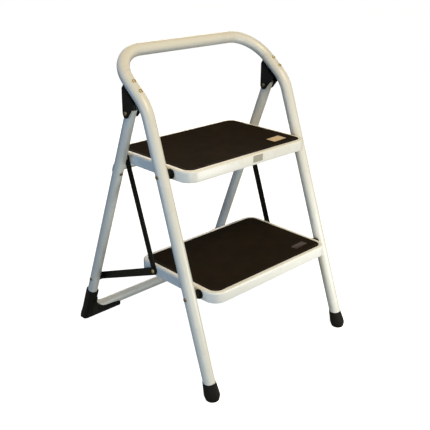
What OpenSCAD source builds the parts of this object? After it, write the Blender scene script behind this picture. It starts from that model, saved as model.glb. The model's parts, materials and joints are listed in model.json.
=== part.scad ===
/* [Overall] */
// Width between the front leg centres at the floor
stance_w = 436; // [340:1:520]
// Overall depth from the front feet to the rear shoes
stance_d = 503; // [410:1:620]
// Height of the upper tread above the floor
tread_z = 471; // [400:1:560]
// Height from the lower tread to the upper one
rise = 245; // [200:1:280]

/* [Front frame] */
// Outer diameter of the front tube
hoop_od = 27; // [22:0.5:33]
// Wall of both tubes
tube_wall = 1.5; // [1:0.1:2.5]
// Lean of the front legs back from upright, degrees
front_lean = 19.1; // [12:0.1:24]
// Inward tilt of each front leg, degrees
front_splay = 0.68; // [0:0.01:2]
// Height above the upper tread of the bend where the legs turn back to the grip
bend_over = 121; // [90:1:160]
// Centreline radius of that bend
bend_r = 92; // [60:1:110]
// Lean of the grip section back from upright, degrees
grip_lean = 51; // [35:1:70]
// Length of the grip section from the bend to the handle
grip_l = 148; // [135:1:200]
// Centreline radius of the handle corners
handle_r = 77; // [50:1:85]
// Height of the front feet
foot_h = 38; // [28:1:60]
// Widest radius of the front feet
foot_r = 17.6; // [17:0.1:26]

/* [Rear frame] */
// Outer diameter of the rear tube
rear_od = 24; // [19:0.5:28]
// How far each rear leg stands inside the front leg at the hinge
rear_in = 1.8; // [0:0.1:4]
// Inward tilt of each rear leg, degrees
rear_splay = 0.34; // [0:0.01:2]
// Distance of the hinge behind the grip's axis
hinge_out = 50; // [44:0.5:60]
// Distance of the hinge up the grip from the bend
hinge_up = 28.5; // [20:0.5:45]
// Height of the bottom bar above the floor
bar_z = 22; // [17:1:40]
// Centreline radius of the rear frame's lower corners
bar_r = 32; // [24:1:60]
// Diameter of the bar the upper tread rests on
stop_d = 19; // [12:0.5:24]
// Reach of each rear shoe under the bottom bar, from the leg's axis
shoe_l = 93; // [60:1:140]

/* [Treads] */
// Room between the link rivets on the treads and the front legs
leg_clear = 3.7; // [2:0.1:12]
// Depth of each tread
tread_d = 254; // [210:1:305]
// Height of the tread's skirt
skirt_h = 25; // [18:1:36]
// Corner radius of each tread
tread_r = 30; // [16:1:50]
// Radius of the tread's upper edge
edge_r = 4; // [2:0.5:8]
// Width of the pale rim round the mat
rim_w = 10.4; // [7:0.1:16]
// Sheet thickness of the treads
sheet = 1.5; // [1:0.1:2.5]
// Depth the mat is let into the tread
mat_let = 2; // [1:0.1:4]
// Height the mat stands above the rim
mat_up = 0.8; // [0:0.1:2]
// Distance from the front edge of the upper tread to its pivot
upper_pivot_in = 53; // [40:1:70]
// Distance from the front edge of the lower tread to its pivot
lower_pivot_in = 47; // [40:1:70]
// Depth of the pivots below the tread surface
pivot_drop = 12.5; // [9:0.5:18]

/* [Linkage] */
// Distance from the tread pivots to the riser pivots
crank = 147.5; // [140:0.5:158]
// Width of the upright riser links
riser_w = 16; // [11:0.5:17]
// Width of the stay links
stay_w = 18; // [11:0.5:22]
// Thickness of the links
link_t = 2.5; // [2:0.1:4]
// Height of the pivot of the stay on the rear leg
stay_z = 127; // [110:1:150]
// Radius of the rivet shanks
pin_r = 3; // [2:0.1:4]
// Radius of the rivet heads
head_r = 4.7; // [4:0.1:6]
// Running clearance round a moving rivet
run_fit = 0.06; // [0.03:0.01:0.1]
// Gap between parts that slide past each other
side_gap = 0.35; // [0.3:0.05:1]

/* [Hidden] */
$fn = 96;
eps = 0.01;
// far length for cutting blocks
far = 400;
// lap of the tube runs into the bends, and how much fuller the bends are
lap = 0.5;
proud = 0.12;
// outer radii of the tubes
hoop_ro = hoop_od / 2;
rear_ro = rear_od / 2;
// tilts measured along the inclined tube planes
lean_f = atan(tan(front_lean) * cos(front_splay));
// floor point of the front leg's centreline, set by the widest ring of its foot
foot_wide_z = 12;
front_y0 = foot_r - stance_d / 2 - foot_wide_z * tan(front_lean);
// leg centreline at a height
function front_y(z) = front_y0 + z * tan(front_lean);
function front_x(z) = stance_w / 2 - z * tan(front_splay);
// bend in the front tube, and the hinge behind the grip
bend_z = tread_z + bend_over;
hinge_y = front_y(bend_z) + hinge_out * cos(grip_lean) + hinge_up * sin(grip_lean);
hinge_z = bend_z + hinge_up * cos(grip_lean) - hinge_out * sin(grip_lean);
hinge_x = front_x(hinge_z) - rear_in;
// the rear leg runs from the hinge to where its shoe meets the rear of the stance
shoe_wall = 2;
shoe_half = rear_ro + shoe_wall;
hinge_to_end = sqrt(pow(stance_d / 2 - hinge_y, 2) + hinge_z * hinge_z);
rear_lean = acos(shoe_half / hinge_to_end) - atan2(hinge_z, stance_d / 2 - hinge_y);
lean_r = atan(tan(rear_lean) * cos(rear_splay));
rear_y0 = stance_d / 2 - shoe_half / cos(rear_lean);
rear_w = 2 * (hinge_x + hinge_z * tan(rear_splay));
function rear_y(z) = rear_y0 - z * tan(rear_lean);
function rear_x(z) = rear_w / 2 - z * tan(rear_splay);
// distance along a leg to a height
function front_run(z) = z / (cos(lean_f) * cos(front_splay));
function rear_run(z) = z / (cos(lean_r) * cos(rear_splay));
// pivots of the treads
up_z = tread_z - pivot_drop;
low_z = up_z - rise;
up_y = front_y(up_z);
low_y = front_y(low_z);
// pivots of the links
riser_l = rise / cos(front_lean);
stay_y = rear_y(stay_z);
stay_dy = stay_y - low_y - crank;
stay_dz = stay_z - low_z;
stay_l = sqrt(stay_dy * stay_dy + stay_dz * stay_dz);
stay_a = atan2(stay_dz, stay_dy);
// sideways layers, from the tread's skirt out to the legs
head_h = 1.2;
layers = 2 * link_t + 3 * side_gap + head_h;
skirt_x = front_x(up_z) - hoop_ro - layers - leg_clear;
tread_w = 2 * skirt_x;
riser_x = skirt_x + side_gap;
stay_x = riser_x + link_t + side_gap;
riser_head_x = riser_x + link_t + side_gap;
stay_head_x = stay_x + link_t + side_gap;
dome_h = 2.4;
// spacers between the tread's skirt and the front legs
spacer_r = 10.5;
hub_r = 8;
flange_t = 4;
// feet
foot_in = 12;
foot_wall = 1.5;
sole_r = foot_r - 3.5;
foot_low_z = 4;
foot_low_r = foot_r - 1.8;
foot_low_axis = 7;
disc_t = 0.4;
// handle corner
corner_f = 90 - asin(sin(front_splay) * cos(grip_lean));
roll_f = 90 + atan(tan(front_splay) * sin(grip_lean));
lower_bend = grip_lean - lean_f;
lower_t = bend_r * tan(lower_bend / 2);
corner_t = handle_r * tan(corner_f / 2);
handle_z = bend_z + grip_l * cos(grip_lean) * cos(front_splay);
handle_y = front_y(bend_z) + grip_l * sin(grip_lean);
handle_half = front_x(handle_z) - corner_t;
// rear lower corner
corner_r = 90 + asin(cos(lean_r) * sin(rear_splay));
roll_r = 90 + atan(tan(rear_splay) * sin(lean_r));
bar_t = bar_r * tan(corner_r / 2);
bar_half = rear_x(bar_z) - bar_t;
// top of the rear leg above its hinge
leg_over = 12;
leg_top = rear_run(hinge_z) + leg_over;
// stop bar, its flattened ends riveted to the backs of the rear legs
tab_t = 3;
tab_h = 24;
tab_out = 5;
tab_lap = 6;
stop_taper = 6;
stop_back = rear_ro + tab_t / 2;
stop_z = tread_z - skirt_h - side_gap - stop_d / 2;
stop_leg_z = stop_z - stop_back * sin(rear_lean);
stop_y = rear_y(stop_leg_z) + stop_back * cos(rear_lean);
stop_half = rear_x(stop_leg_z) - rear_ro - 1;
// hinge bracket
ear_t = 1.5;
ear_gap = 0.5;
ear_in = rear_ro + ear_gap;
ear_r = 10;
web_t = 2;
web_l = 42;
web_lo = hinge_up - ear_r;
// the web starts where the bend ends
web_from = lower_t + lap;
web_hi = web_from + web_l;
small_head = 4.4;
small_pin = 2.2;
rivet_lo = web_from + small_head + 1;
rivet_hi = rivet_lo + 26.5;
// allowance for the small angle between rivet and web
seat = 0.08;
// mat and stiffener
mat_t = mat_let + mat_up;
mat_gap = 0.4;
rib_w = 46;
rib_h = 14;
rib_lip = 10;
stiff_in = 20;
roll_in = 8;
// bores through the skirt start this far inside it
bore_in = 20;
// rear shoe, heights measured along the leg
flank = rear_ro + 1;
tongue_top = 106;
tongue_x = 11;
rim_out = 98;
rim_mid = 95;
rim_inner = 88;
shoe_knee = 54;
shoe_dip = 42;
shoe_lip = 30;
arm_end_top = 21;
toe_h = 9;
arm_nose = 4;

white = [0.93, 0.92, 0.89];
black = [0.06, 0.06, 0.06];
zinc = [0.72, 0.66, 0.52];
mat_brown = [0.10, 0.09, 0.07];

// ---- helpers ----

module both() {
    children();
    mirror([1, 0, 0]) children();
}

module left() {
    mirror([1, 0, 0]) children();
}

// straight run of tube lapping into its neighbours, children at its far end
module run(l, r) {
    translate([0, 0, -lap]) cylinder(r = r, h = l + 2 * lap);
    translate([0, 0, l]) children();
}

// bend towards +Y, a hair fuller than the runs, children at its far end
module bend(a, br, r) {
    translate([0, br, 0])
        rotate([90, 0, -90])
        rotate_extrude(angle = a)
        translate([br, 0])
        circle(r = r + proud);
    translate([0, br * (1 - cos(a)), br * sin(a)])
        rotate([-a, 0, 0])
        children();
}

// shaft along +X from x0 to x1
module x_pin(x0, x1, r) {
    translate([x0, 0, 0])
        rotate([0, 90, 0])
        cylinder(r = r, h = x1 - x0);
}

// shaft along +Y from here
module y_pin(l, r) {
    rotate([-90, 0, 0]) cylinder(r = r, h = l);
}

// domed rivet head facing +Z
module dome(r, h) {
    ball = (r * r + h * h) / (2 * h);
    rotate_extrude()
        intersection() {
            translate([0, h - ball]) circle(r = ball);
            square([r, h]);
        }
}

// dome facing +X at x0
module x_dome(x0, r, h) {
    translate([x0, 0, 0])
        rotate([0, 90, 0])
        dome(r, h);
}

// dome facing -X at x0
module x_dome_in(x0, r, h) {
    translate([x0, 0, 0])
        rotate([0, -90, 0])
        dome(r, h);
}

module round_rect(w, d, r) {
    square([w - 2 * r, d], center = true);
    square([w, d - 2 * r], center = true);
    for (sx = [-1, 1])
        for (sy = [-1, 1])
            translate([sx * (w / 2 - r), sy * (d / 2 - r)])
                circle(r = r);
}

// places the right front leg along +Z
module on_front_leg() {
    translate([stance_w / 2, front_y0, 0])
        rotate([0, -front_splay, 0])
        rotate([-lean_f, 0, 0])
        children();
}

// places the right rear leg along +Z
module on_rear_leg() {
    translate([rear_w / 2, rear_y0, 0])
        rotate([0, -rear_splay, 0])
        rotate([lean_r, 0, 0])
        children();
}

// places the right grip section along +Z, +Y being its underside
module on_grip() {
    on_front_leg()
        translate([0, 0, front_run(bend_z)])
        rotate([-lower_bend, 0, 0])
        children();
}

module below_floor() {
    translate([-far, -far, -far])
        cube([2 * far, 2 * far, far]);
}

// ---- front frame ----

module hoop_solid(r) {
    both()
        on_front_leg()
        translate([0, 0, foot_in])
        run(front_run(bend_z) - lower_t - foot_in, r)
        bend(lower_bend, bend_r, r)
        run(grip_l - lower_t - corner_t, r)
        rotate([0, 0, roll_f])
        bend(corner_f, handle_r, r);
    translate([0, handle_y, handle_z])
        x_pin(-handle_half - lap, handle_half + lap, r);
}

module hoop_holes() {
    translate([0, up_y, up_z]) x_pin(skirt_x, stance_w, pin_r);
    translate([0, low_y, low_z]) x_pin(skirt_x, stance_w, pin_r);
    on_grip()
        for (s = [rivet_lo, rivet_hi])
            translate([0, -hoop_od, s])
                rotate([-90, 0, 0])
                cylinder(r = small_pin, h = 2 * hoop_od);
}

module front_hoop() {
    color(white)
        difference() {
            hoop_solid(hoop_ro);
            hoop_solid(hoop_ro - tube_wall);
            on_front_leg() cylinder(r = hoop_ro - tube_wall, h = foot_in);
            left() on_front_leg() cylinder(r = hoop_ro - tube_wall, h = foot_in);
            both() hoop_holes();
        }
}

// thin level disc with its underside at z, centred where the leg's axis is at axis_z
module foot_disc(z, r, axis_z) {
    translate([front_x(axis_z), front_y(axis_z), z]) cylinder(r = r, h = disc_t, $fn = 48);
}

module foot_body() {
    difference() {
        hull() {
            foot_disc(0, sole_r, foot_low_axis);
            foot_disc(foot_low_z, foot_low_r, foot_low_axis);
            foot_disc(foot_wide_z, foot_r, foot_wide_z);
            foot_disc(foot_h - disc_t, hoop_ro + foot_wall, foot_h);
        }
        on_front_leg()
            translate([0, 0, foot_in - lap])
            cylinder(r = hoop_ro, h = 2 * foot_h);
    }
}

module front_foot_right() color(black) foot_body();
module front_foot_left() color(black) left() foot_body();

// ear of the hinge bracket, X along the drop from the grip, Y along the grip
module ear_shape() {
    difference() {
        union() {
            polygon([
                [hoop_ro, web_lo], [hoop_ro, web_hi], [hoop_ro + web_t, web_hi],
                [hinge_out + ear_r * cos(grip_lean), hinge_up + ear_r * sin(grip_lean)],
                [hinge_out, hinge_up], [hinge_out, web_lo]
            ]);
            translate([hinge_out, hinge_up]) circle(r = ear_r);
        }
        translate([hinge_out, hinge_up]) circle(r = pin_r);
    }
}

module bracket_body() {
    difference() {
        translate([hinge_x, front_y(bend_z), bend_z])
            rotate([-grip_lean, 0, 0]) {
                for (x = [ear_in, -ear_in - ear_t])
                    translate([x, 0, 0])
                        rotate([90, 0, 90])
                        linear_extrude(height = ear_t)
                        ear_shape();
                translate([-ear_in, hoop_ro, web_from])
                    cube([2 * ear_in, web_t, web_hi - web_from]);
            }
        hoop_holes();
    }
}

module hinge_bracket_right() color(black) bracket_body();
module hinge_bracket_left() color(black) left() bracket_body();

module bracket_rivet() {
    translate([0, -hoop_ro, 0])
        rotate([-90, 0, 0])
        cylinder(r = small_pin, h = hoop_od + web_t + seat);
    translate([0, -hoop_ro, 0])
        rotate([90, 0, 0])
        dome(small_head, dome_h);
    translate([0, hoop_ro + web_t + seat, 0])
        rotate([-90, 0, 0])
        dome(small_head, dome_h);
}

module bracket_rivets() {
    color(zinc)
        both()
        on_grip()
        for (s = [rivet_lo, rivet_hi])
            translate([0, 0, s]) bracket_rivet();
}

module hinge_rivets() {
    reach = ear_in + ear_t;
    color(zinc)
        both()
        translate([0, hinge_y, hinge_z]) {
            x_pin(hinge_x - reach, hinge_x + reach, pin_r);
            x_dome(hinge_x + reach, head_r, dome_h);
            x_dome_in(hinge_x - reach, head_r, head_h);
        }
}

// rivet that carries a tread on a front leg, at height z
module pivot_rivet(z) {
    x_in = skirt_x - sheet - side_gap;
    x_out = front_x(z) + hoop_ro + head_r * tan(front_splay);
    translate([0, front_y(z), z]) {
        x_pin(x_in - head_h, x_out + head_h, pin_r);
        x_pin(x_in - head_h, x_in, head_r);
        x_dome(x_out, head_r, dome_h);
    }
}

module upper_pivot_rivets() color(zinc) both() pivot_rivet(up_z);
module lower_pivot_rivets() color(zinc) both() pivot_rivet(low_z);

// spacer between a tread's skirt and a front leg, at height z
module spacer(z) {
    x0 = skirt_x + side_gap;
    difference() {
        translate([0, front_y(z), z]) {
            x_pin(x0, x0 + flange_t, spacer_r);
            x_pin(x0, front_x(z), hub_r);
        }
        on_front_leg() cylinder(r = hoop_ro, h = front_run(bend_z));
        translate([0, front_y(z), z])
            x_pin(x0 - eps, stance_w, pin_r);
    }
}

module upper_spacers() color(black) both() spacer(up_z);
module lower_spacers() color(black) both() spacer(low_z);

// ---- rear frame ----

module rear_solid(r) {
    both()
        on_rear_leg()
        translate([0, 0, leg_top])
        rotate([180, 0, 0])
        run(leg_top - rear_run(bar_z) - bar_t, r)
        rotate([0, 0, roll_r])
        bend(corner_r, bar_r, r);
    translate([0, rear_y(bar_z), bar_z])
        x_pin(-bar_half - lap, bar_half + lap, r);
}

// puts a part on the right rear leg at the stop bar's height
module at_stop() {
    on_rear_leg()
        translate([0, 0, rear_run(stop_leg_z)])
        children();
}

module rear_holes() {
    translate([0, hinge_y, hinge_z]) x_pin(skirt_x, stance_w, pin_r + run_fit);
    at_stop()
        translate([0, -rear_od, 0])
        y_pin(2 * rear_od, small_pin);
    translate([0, stay_y, stay_z]) x_pin(skirt_x, stance_w, pin_r);
}

module rear_frame() {
    color(white)
        difference() {
            rear_solid(rear_ro);
            rear_solid(rear_ro - tube_wall);
            both()
                on_rear_leg()
                translate([0, 0, leg_top])
                cylinder(r = rear_ro - tube_wall, h = bar_r);
            both() rear_holes();
        }
}

// flattened end of the stop bar behind the right rear leg
module stop_tab() {
    corner = tab_h / 4;
    at_stop()
        translate([0, rear_ro + tab_t, 0])
        rotate([90, 0, 0])
        linear_extrude(height = tab_t)
        translate([(tab_out - rear_ro - tab_lap) / 2, 0])
        round_rect(tab_out + rear_ro + tab_lap, tab_h, corner);
}

module stop_bar() {
    color(white)
        difference() {
            union() {
                translate([0, stop_y, stop_z]) {
                    x_pin(stop_taper - stop_half, stop_half - stop_taper, stop_d / 2);
                    both()
                        translate([stop_half - stop_taper - eps, 0, 0])
                        rotate([0, 90, 0])
                        cylinder(r1 = stop_d / 2, r2 = tab_t, h = stop_taper + eps);
                }
                both() stop_tab();
            }
            translate([0, stop_y, stop_z])
                x_pin(bore_in - stop_half, stop_half - bore_in, stop_d / 2 - tube_wall);
            both()
                at_stop()
                translate([0, rear_ro - 1, 0])
                y_pin(tab_t + 2, small_pin);
        }
}

module stop_bar_rivets() {
    color(zinc)
        both()
        at_stop() {
            translate([0, -rear_ro, 0]) {
                y_pin(rear_od + tab_t, small_pin);
                rotate([90, 0, 0]) dome(small_head, dome_h);
            }
            translate([0, rear_ro + tab_t, 0])
                rotate([-90, 0, 0])
                dome(small_head, head_h);
        }
}

// outline of a rear shoe, X outward from the leg, Y up along it
module shoe_outline() {
    difference() {
        polygon([
            [shoe_half, -toe_h], [shoe_half, tongue_top], [tongue_x, tongue_top],
            [tongue_x, rim_out], [0, rim_mid], [-shoe_half, rim_inner],
            [-shoe_half, shoe_knee], [-shoe_half - shoe_wall, shoe_dip],
            [-bar_r, shoe_lip], [-bar_r - rear_ro, shoe_lip],
            [arm_nose - shoe_l, arm_end_top], [-shoe_l, arm_end_top - arm_nose],
            [-shoe_l, -toe_h]
        ]);
        translate([-bar_r, bar_z + bar_r]) circle(r = bar_r - rear_ro);
    }
}

module shoe_body() {
    difference() {
        intersection() {
            on_rear_leg()
                translate([0, shoe_half, 0])
                rotate([90, 0, 0])
                linear_extrude(height = 2 * shoe_half)
                shoe_outline();
            on_rear_leg() {
                translate([0, 0, -toe_h]) cylinder(r = shoe_half, h = tongue_top + toe_h);
                translate([-shoe_l, -flank, -toe_h])
                    cube([shoe_l, 2 * flank, shoe_knee + toe_h]);
            }
        }
        rear_solid(rear_ro);
        below_floor();
    }
}

module rear_shoe_right() color(black) shoe_body();
module rear_shoe_left() color(black) left() shoe_body();

module stay_pivot_rivets() {
    x_out = rear_x(stay_z) + rear_ro;
    color(zinc)
        both()
        translate([0, stay_y, stay_z]) {
            x_pin(stay_head_x, x_out, pin_r);
            x_dome(x_out, head_r, dome_h);
        }
}

module stay_bushes() {
    color(black)
        both()
        difference() {
            translate([0, stay_y, stay_z])
                x_pin(stay_head_x, rear_x(stay_z), stay_w / 2);
            on_rear_leg() cylinder(r = rear_ro, h = leg_top);
            translate([0, stay_y, stay_z])
                x_pin(stay_head_x - eps, stance_w, pin_r);
        }
}

// ---- treads ----

// section of the tread's edge, X outward from the corner centre
module rim_section() {
    difference() {
        union() {
            translate([0, -skirt_h]) square([tread_r, skirt_h - edge_r]);
            translate([0, -edge_r]) square([tread_r - edge_r, edge_r]);
            translate([tread_r - edge_r, -edge_r]) circle(r = edge_r);
        }
        translate([-1, -mat_let]) square([tread_r - rim_w + 1, mat_let + 1]);
        translate([-1, -skirt_h - 1]) square([tread_r - roll_in + 1, sheet + 2]);
        translate([-1, sheet - skirt_h])
            square([tread_r - sheet + 1, skirt_h - mat_let - 2 * sheet]);
        translate([tread_r - rim_w + sheet, -mat_let - 2 * sheet])
            square([rim_w - sheet - edge_r, mat_let + sheet]);
    }
}

module tread_corner() {
    translate([tread_w / 2 - tread_r, tread_d / 2 - tread_r, 0])
        rotate_extrude(angle = 90)
        rim_section();
}

module tread_shell() {
    run_x = tread_w - 2 * tread_r;
    run_y = tread_d - 2 * tread_r;
    translate([-run_x / 2, -run_y / 2, -mat_let - sheet]) cube([run_x, run_y, sheet]);
    for (m = [0, 1])
        mirror([m, 0, 0])
            translate([run_x / 2, run_y / 2, 0])
            rotate([90, 0, 0])
            linear_extrude(height = run_y)
            rim_section();
    for (m = [0, 1])
        mirror([0, m, 0])
            translate([-run_x / 2, run_y / 2, 0])
            rotate([90, 0, 90])
            linear_extrude(height = run_x)
            rim_section();
    for (mx = [0, 1])
        for (my = [0, 1])
            mirror([mx, 0, 0]) mirror([0, my, 0]) tread_corner();
}

module at_upper() {
    translate([0, up_y + tread_d / 2 - upper_pivot_in, tread_z]) children();
}

module at_lower() {
    translate([0, low_y + tread_d / 2 - lower_pivot_in, tread_z - rise]) children();
}

// bores through the skirts for the pivot at (y, z) and for the riser behind it
module tread_bores(y, z) {
    both() translate([0, y, z]) x_pin(skirt_x - bore_in, stance_w, pin_r + run_fit);
    both() translate([0, y + crank, z]) x_pin(skirt_x - bore_in, stance_w, pin_r);
}

module mat_body() {
    inset = 2 * (rim_w + mat_gap);
    translate([0, 0, -mat_let])
        linear_extrude(height = mat_t)
        round_rect(tread_w - inset, tread_d - inset, tread_r - rim_w);
}

// hat section that runs under the deck from side to side
module stiffener_body() {
    half = rib_w / 2;
    web = half - rib_lip;
    translate([stiff_in - skirt_x, 0, -mat_let - sheet])
        rotate([90, 0, 90])
        linear_extrude(height = tread_w - 2 * stiff_in)
        polygon([
            [-half, 0], [-half, -sheet], [-web - sheet, -sheet],
            [-web - sheet, -rib_h], [web + sheet, -rib_h], [web + sheet, -sheet],
            [half, -sheet], [half, 0], [web, 0], [web, sheet - rib_h],
            [-web, sheet - rib_h], [-web, 0]
        ]);
}

// rivet through the skirt that carries the links, its outer head at x_head
module link_rivet(y, z, x_head) {
    x_in = skirt_x - sheet;
    translate([0, y, z]) {
        x_pin(x_in - head_h, x_head, pin_r);
        x_pin(x_in - head_h, x_in, head_r);
        x_dome(x_head, head_r, head_h);
    }
}

module upper_tread() {
    color(white)
        difference() {
            at_upper() tread_shell();
            tread_bores(up_y, up_z);
        }
}

module lower_tread() {
    color(white)
        difference() {
            at_lower() tread_shell();
            tread_bores(low_y, low_z);
        }
}

module upper_mat() color(mat_brown) at_upper() mat_body();
module lower_mat() color(mat_brown) at_lower() mat_body();
module upper_stiffener() color(white) at_upper() stiffener_body();
module lower_stiffener() color(white) at_lower() stiffener_body();

module riser_top_rivets() color(zinc) both() link_rivet(up_y + crank, up_z, riser_head_x);
module riser_foot_rivets() color(zinc) both() link_rivet(low_y + crank, low_z, stay_head_x);

// ---- links ----

// flat bar along +Y from its first pivot, in the Y-Z plane, outer face creased
module bar_link(l, w, r0, r1) {
    crease_w = w / 4;
    crease_d = link_t / 4;
    rotate([90, 0, 90])
        difference() {
            linear_extrude(height = link_t)
                difference() {
                    union() {
                        translate([0, -w / 2]) square([l, w]);
                        circle(r = w / 2);
                        translate([l, 0]) circle(r = w / 2);
                    }
                    circle(r = r0);
                    translate([l, 0]) circle(r = r1);
                }
            translate([w, -crease_w / 2, link_t - crease_d])
                cube([l - 2 * w, crease_w, link_t]);
        }
}

module riser_body() {
    translate([riser_x, low_y + crank, low_z])
        rotate([90 - front_lean, 0, 0])
        bar_link(riser_l, riser_w, pin_r + run_fit, pin_r + run_fit);
}

module stay_body() {
    translate([stay_x, low_y + crank, low_z])
        rotate([stay_a, 0, 0])
        bar_link(stay_l, stay_w, pin_r + run_fit, pin_r);
}

module tail_body() {
    translate([0, stay_y, stay_z]) {
        x_pin(stay_x, stay_x + link_t, pin_r);
        x_dome_in(stay_x, head_r, head_h);
    }
}

module riser_link_right() color(black) riser_body();
module riser_link_left() color(black) left() riser_body();
module stay_link_right() color(black) stay_body();
module stay_link_left() color(black) left() stay_body();
module stay_tail_right() color(zinc) tail_body();
module stay_tail_left() color(zinc) left() tail_body();

front_hoop();
front_foot_left();
front_foot_right();
hinge_bracket_left();
hinge_bracket_right();
bracket_rivets();
hinge_rivets();
upper_pivot_rivets();
lower_pivot_rivets();
upper_spacers();
lower_spacers();
rear_frame();
stop_bar();
stop_bar_rivets();
rear_shoe_left();
rear_shoe_right();
stay_pivot_rivets();
stay_bushes();
upper_tread();
upper_mat();
upper_stiffener();
riser_top_rivets();
lower_tread();
lower_mat();
lower_stiffener();
riser_foot_rivets();
riser_link_left();
riser_link_right();
stay_link_left();
stay_link_right();
stay_tail_left();
stay_tail_right();
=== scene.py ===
import bpy, bmesh, json, math
from mathutils import Vector, Matrix

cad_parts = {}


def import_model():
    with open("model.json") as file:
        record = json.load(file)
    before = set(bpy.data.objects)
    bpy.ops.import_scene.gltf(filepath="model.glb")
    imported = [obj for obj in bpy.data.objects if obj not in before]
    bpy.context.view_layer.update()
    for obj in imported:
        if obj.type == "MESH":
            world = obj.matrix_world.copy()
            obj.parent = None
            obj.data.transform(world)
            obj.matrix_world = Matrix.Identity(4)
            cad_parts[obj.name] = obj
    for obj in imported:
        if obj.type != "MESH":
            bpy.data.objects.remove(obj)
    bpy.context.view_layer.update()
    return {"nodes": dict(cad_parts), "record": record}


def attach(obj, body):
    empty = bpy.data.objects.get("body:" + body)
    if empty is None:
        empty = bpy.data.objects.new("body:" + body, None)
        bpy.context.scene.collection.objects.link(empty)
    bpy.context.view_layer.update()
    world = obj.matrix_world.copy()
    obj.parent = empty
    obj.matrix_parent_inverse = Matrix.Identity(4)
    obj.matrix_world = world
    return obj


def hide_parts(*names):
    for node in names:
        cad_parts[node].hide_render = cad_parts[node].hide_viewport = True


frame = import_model()


# ---- sizes of the stool, in metres and degrees, as in the part ----
def tan(degrees):
    return math.tan(math.radians(degrees))


def sin(degrees):
    return math.sin(math.radians(degrees))


def cos(degrees):
    return math.cos(math.radians(degrees))


# whole stool: width between the front legs, depth over feet and shoes, upper deck, step to step
STANCE_W, STANCE_D, TREAD_Z, RISE = 0.436, 0.503, 0.471, 0.245
# tubes
HOOP_R, REAR_R, TUBE_WALL = 0.0135, 0.012, 0.0015
FRONT_LEAN, FRONT_SPLAY, GRIP_LEAN, REAR_SPLAY = 19.1, 0.68, 51.0, 0.34
BEND_Z, BEND_R, GRIP_L, HANDLE_R = TREAD_Z + 0.121, 0.092, 0.148, 0.077
BAR_Z, BAR_R = 0.022, 0.032
LEG_OVER = 0.012
# hinge behind the grip, and its bracket's ears and web
HINGE_OUT, HINGE_UP, REAR_IN = 0.050, 0.0285, 0.0018
EAR_T, EAR_GAP, WEB_T = 0.0015, 0.0005, 0.002
WEB_FROM = BEND_R * tan((GRIP_LEAN - FRONT_LEAN) / 2) + 0.0005
WEB_L = 0.042
# feet, how far up in them the front tube ends, and shoes
FOOT_H, FOOT_R, FOOT_WIDE_Z, FOOT_IN, SHOE_WALL = 0.038, 0.0176, 0.012, 0.012, 0.002
# treads and mats
TREAD_D, SKIRT_H, TREAD_R, EDGE_R, RIM_W, SHEET = 0.254, 0.025, 0.030, 0.004, 0.0104, 0.0015
MAT_LET, MAT_UP, MAT_GAP = 0.002, 0.0008, 0.0004
PIVOT_DROP, UPPER_PIVOT_IN, LOWER_PIVOT_IN = 0.0125, 0.053, 0.047
# links, stop bar and stay pivots
CRANK, LINK_T, SIDE_GAP, LEG_CLEAR, STAY_Z = 0.1475, 0.0025, 0.00035, 0.0037, 0.127
STOP_D, STOP_TAB_T = 0.019, 0.003
# rivets: heads with a flat or a domed top, shanks, and the stub under a far head
HEAD_R, HEAD_H, DOME_H, PIN_R, STUB = 0.0047, 0.0012, 0.0024, 0.003, 0.001
SMALL_HEAD, SMALL_PIN = 0.0044, 0.0022
BRACKET_RIVET, BRACKET_RIVET_STEP = WEB_FROM + SMALL_HEAD + 0.001, 0.0265
# corners sharper than this many degrees are eased on the pressings and mouldings
EASED_OVER = 32
SIDES = {"left": -1, "right": 1}

front_y0 = FOOT_R - STANCE_D / 2 - FOOT_WIDE_Z * tan(FRONT_LEAN)


def front_leg(z, side=1):
    """Centre of a front leg at height z."""
    return Vector((side * (STANCE_W / 2 - z * tan(FRONT_SPLAY)), front_y0 + z * tan(FRONT_LEAN), z))


def grip(along, drop=0.0, side=1):
    """Point along the grip from its bend, dropped towards its underside."""
    z = BEND_Z + along * cos(GRIP_LEAN) - drop * sin(GRIP_LEAN)
    y = front_leg(BEND_Z).y + along * sin(GRIP_LEAN) + drop * cos(GRIP_LEAN)
    return Vector((side * front_leg(BEND_Z + along * cos(GRIP_LEAN)).x, y, z))


hinge = grip(HINGE_UP, HINGE_OUT)
hinge.x = front_leg(hinge.z).x - REAR_IN
shoe_half = REAR_R + SHOE_WALL
hinge_reach = math.hypot(STANCE_D / 2 - hinge.y, hinge.z)
rear_lean = math.degrees(math.acos(shoe_half / hinge_reach) - math.atan2(hinge.z, STANCE_D / 2 - hinge.y))
rear_y0 = STANCE_D / 2 - shoe_half / cos(rear_lean)
rear_x0 = hinge.x + hinge.z * tan(REAR_SPLAY)


def rear_leg(z, side=1):
    """Centre of a rear leg at height z."""
    return Vector((side * (rear_x0 - z * tan(REAR_SPLAY)), rear_y0 - z * tan(rear_lean), z))


# pivots of the treads, and the layers from a skirt out to the leg
up_z = TREAD_Z - PIVOT_DROP
low_z = up_z - RISE
skirt_x = front_leg(up_z).x - HOOP_R - (2 * LINK_T + 3 * SIDE_GAP + HEAD_H) - LEG_CLEAR
riser_x = skirt_x + SIDE_GAP
stay_x = riser_x + LINK_T + SIDE_GAP


# ---- helpers ----
def linear(hex_colour):
    """sRGB hex such as "e8e4d8" as a linear RGBA colour."""
    parts = [int(hex_colour[i:i + 2], 16) / 255 for i in (0, 2, 4)]
    return [c / 12.92 if c <= 0.04045 else ((c + 0.055) / 1.055) ** 2.4 for c in parts] + [1.0]


def per_mm(size):
    """Pattern scale whose features are about size millimetres across."""
    return 1000.0 / size


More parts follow.
